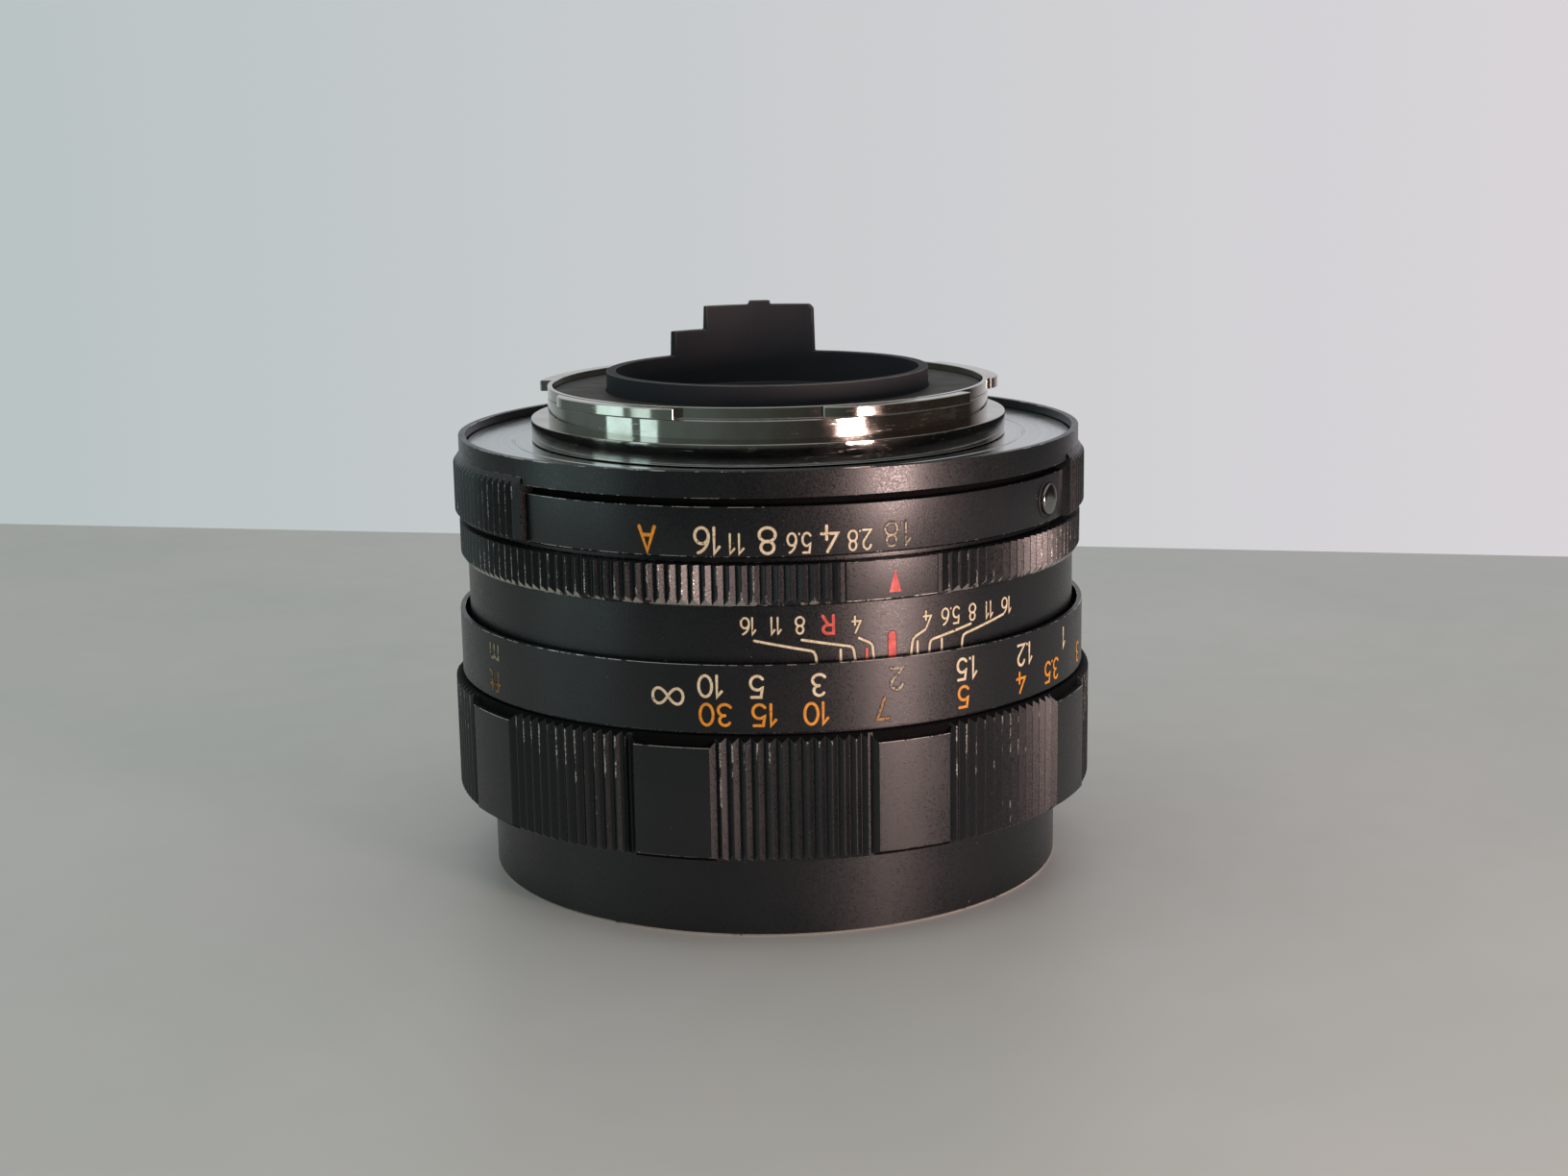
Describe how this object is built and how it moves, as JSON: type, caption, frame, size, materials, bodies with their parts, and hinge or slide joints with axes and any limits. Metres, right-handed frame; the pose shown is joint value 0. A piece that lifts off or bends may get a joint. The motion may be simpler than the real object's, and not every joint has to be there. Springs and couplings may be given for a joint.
{
  "type": "prime camera lens",
  "caption": "Normal prime lens with focus ring and depth scale, aperture ring with lock button, and a lugged bayonet with a guard at the rear.",
  "frame": {"origin": "centre of the front rim, where the lens stands", "axes": "+Z along the optical axis towards the camera, -Y through the index line of the scales"},
  "size_m": [0.0641, 0.0641, 0.0544],
  "materials": {
    "black_anodised": "satin black, fine blasted grain",
    "matt_black": "matt black",
    "baffle_black": "matt, dark olive black",
    "chrome": "polished, scratched in use",
    "satin_aluminium": "fine satin",
    "turned_aluminium": "turned",
    "brass": "turned",
    "steel": "ground",
    "blued_steel": "blackened",
    "optical_glass": "polished, coated",
    "cream_paint": "engraving filled with paint",
    "amber_paint": "engraving filled with paint",
    "red_paint": "engraving filled with paint"
  },
  "bodies": {
    "barrel": {"main_barrel": "turned_aluminium", "depth_scale_barrel": "black_anodised", "fixed_grip_ring": "black_anodised", "rear_plate": "satin_aluminium", "bayonet_mount": "chrome", "baffle_plate": "baffle_black", "rear_baffle": "matt_black", "guide_key_1": "steel", "guide_key_2": "steel", "mount_screw_1": "steel", "mount_screw_2": "steel", "mount_screw_3": "steel", "detent_ball": "steel", "detent_leaf": "steel"},
    "aperture_ring": {"aperture_ring": "black_anodised", "lock_spring_strip": "steel", "aperture_cam_ring": "brass", "aperture_drive_pin": "steel"},
    "lock_button": {"lock_button": "chrome"},
    "stop_down_lever": {"stop_down_lever": "steel"},
    "optical_unit": {"filter_ring": "black_anodised", "optical_tube": "turned_aluminium", "name_ring": "matt_black", "front_cell": "matt_black", "front_retainer": "matt_black", "lens_1": "optical_glass", "lens_2": "optical_glass", "lens_3": "optical_glass", "lens_4": "optical_glass", "lens_5": "optical_glass", "lens_6": "optical_glass", "rear_cell": "matt_black", "rear_spacer": "matt_black", "rear_retainer": "matt_black", "iris_housing": "matt_black", "iris_cover": "matt_black"},
    "focus_ring": {"focus_ring": "black_anodised", "focus_helicoid": "brass"},
    "iris_drive_ring": {"iris_drive_ring": "steel"},
    "iris_blade_1": {"iris_blade_1": "blued_steel"},
    "iris_blade_2": {"iris_blade_2": "blued_steel"},
    "iris_blade_3": {"iris_blade_3": "blued_steel"},
    "iris_blade_4": {"iris_blade_4": "blued_steel"},
    "iris_blade_5": {"iris_blade_5": "blued_steel"},
    "iris_blade_6": {"iris_blade_6": "blued_steel"}
  },
  "joints": [
    {"name": "focus_turn", "type": "hinge", "parent": "optical_unit", "child": "focus_ring", "pos_m": [0, 0, 0.014], "axis": [0, 0, 1], "range_deg": [-126.6, 38.3]},
    {"name": "focus_slide", "type": "slide", "parent": "barrel", "child": "optical_unit", "axis": [0, 0, 1], "range_m": [-0.00465, 0.00141]},
    {"name": "aperture_turn", "type": "hinge", "parent": "barrel", "child": "aperture_ring", "pos_m": [0, 0, 0.0395], "axis": [0, 0, 1], "range_deg": [0, 43]},
    {"name": "lock_press", "type": "slide", "parent": "aperture_ring", "child": "lock_button", "axis": [-0.6184, 0.7859, 0], "range_m": [0, 0.0004], "stiffness_N_per_m": 800},
    {"name": "stop_down_turn", "type": "hinge", "parent": "barrel", "child": "stop_down_lever", "pos_m": [0, 0, 0.0445], "axis": [0, 0, 1], "range_deg": [0, 18], "stiffness_Nm_per_rad": 0.02},
    {"name": "iris_drive_turn", "type": "hinge", "parent": "optical_unit", "child": "iris_drive_ring", "pos_m": [0, 0, 0.029], "axis": [0, 0, 1], "range_deg": [-0.5, 43.5]},
    {"name": "blade_1_turn", "type": "hinge", "parent": "optical_unit", "child": "iris_blade_1", "pos_m": [0, -0.0168, 0.0269], "axis": [0, 0, 1], "range_deg": [-0.5, 38]},
    {"name": "blade_2_turn", "type": "hinge", "parent": "optical_unit", "child": "iris_blade_2", "pos_m": [0.01455, -0.0084, 0.02715], "axis": [0, 0, 1], "range_deg": [-0.5, 38]},
    {"name": "blade_3_turn", "type": "hinge", "parent": "optical_unit", "child": "iris_blade_3", "pos_m": [0.01455, 0.0084, 0.0274], "axis": [0, 0, 1], "range_deg": [-0.5, 38]},
    {"name": "blade_4_turn", "type": "hinge", "parent": "optical_unit", "child": "iris_blade_4", "pos_m": [0, 0.0168, 0.02765], "axis": [0, 0, 1], "range_deg": [-0.5, 38]},
    {"name": "blade_5_turn", "type": "hinge", "parent": "optical_unit", "child": "iris_blade_5", "pos_m": [-0.01455, 0.0084, 0.0279], "axis": [0, 0, 1], "range_deg": [-0.5, 38]},
    {"name": "blade_6_turn", "type": "hinge", "parent": "optical_unit", "child": "iris_blade_6", "pos_m": [-0.01455, -0.0084, 0.02815], "axis": [0, 0, 1], "range_deg": [-0.5, 38]}
  ],
  "couplings": [
    {"joint": "focus_slide", "follows": "focus_turn", "m_per_rad": 0.0021003},
    {"joint": "iris_drive_turn", "follows": "aperture_turn", "ratio": 1},
    {"joint": "blade_1_turn", "follows": "aperture_turn", "ratio": 0.872},
    {"joint": "blade_2_turn", "follows": "aperture_turn", "ratio": 0.872},
    {"joint": "blade_3_turn", "follows": "aperture_turn", "ratio": 0.872},
    {"joint": "blade_4_turn", "follows": "aperture_turn", "ratio": 0.872},
    {"joint": "blade_5_turn", "follows": "aperture_turn", "ratio": 0.872},
    {"joint": "blade_6_turn", "follows": "aperture_turn", "ratio": 0.872}
  ]
}
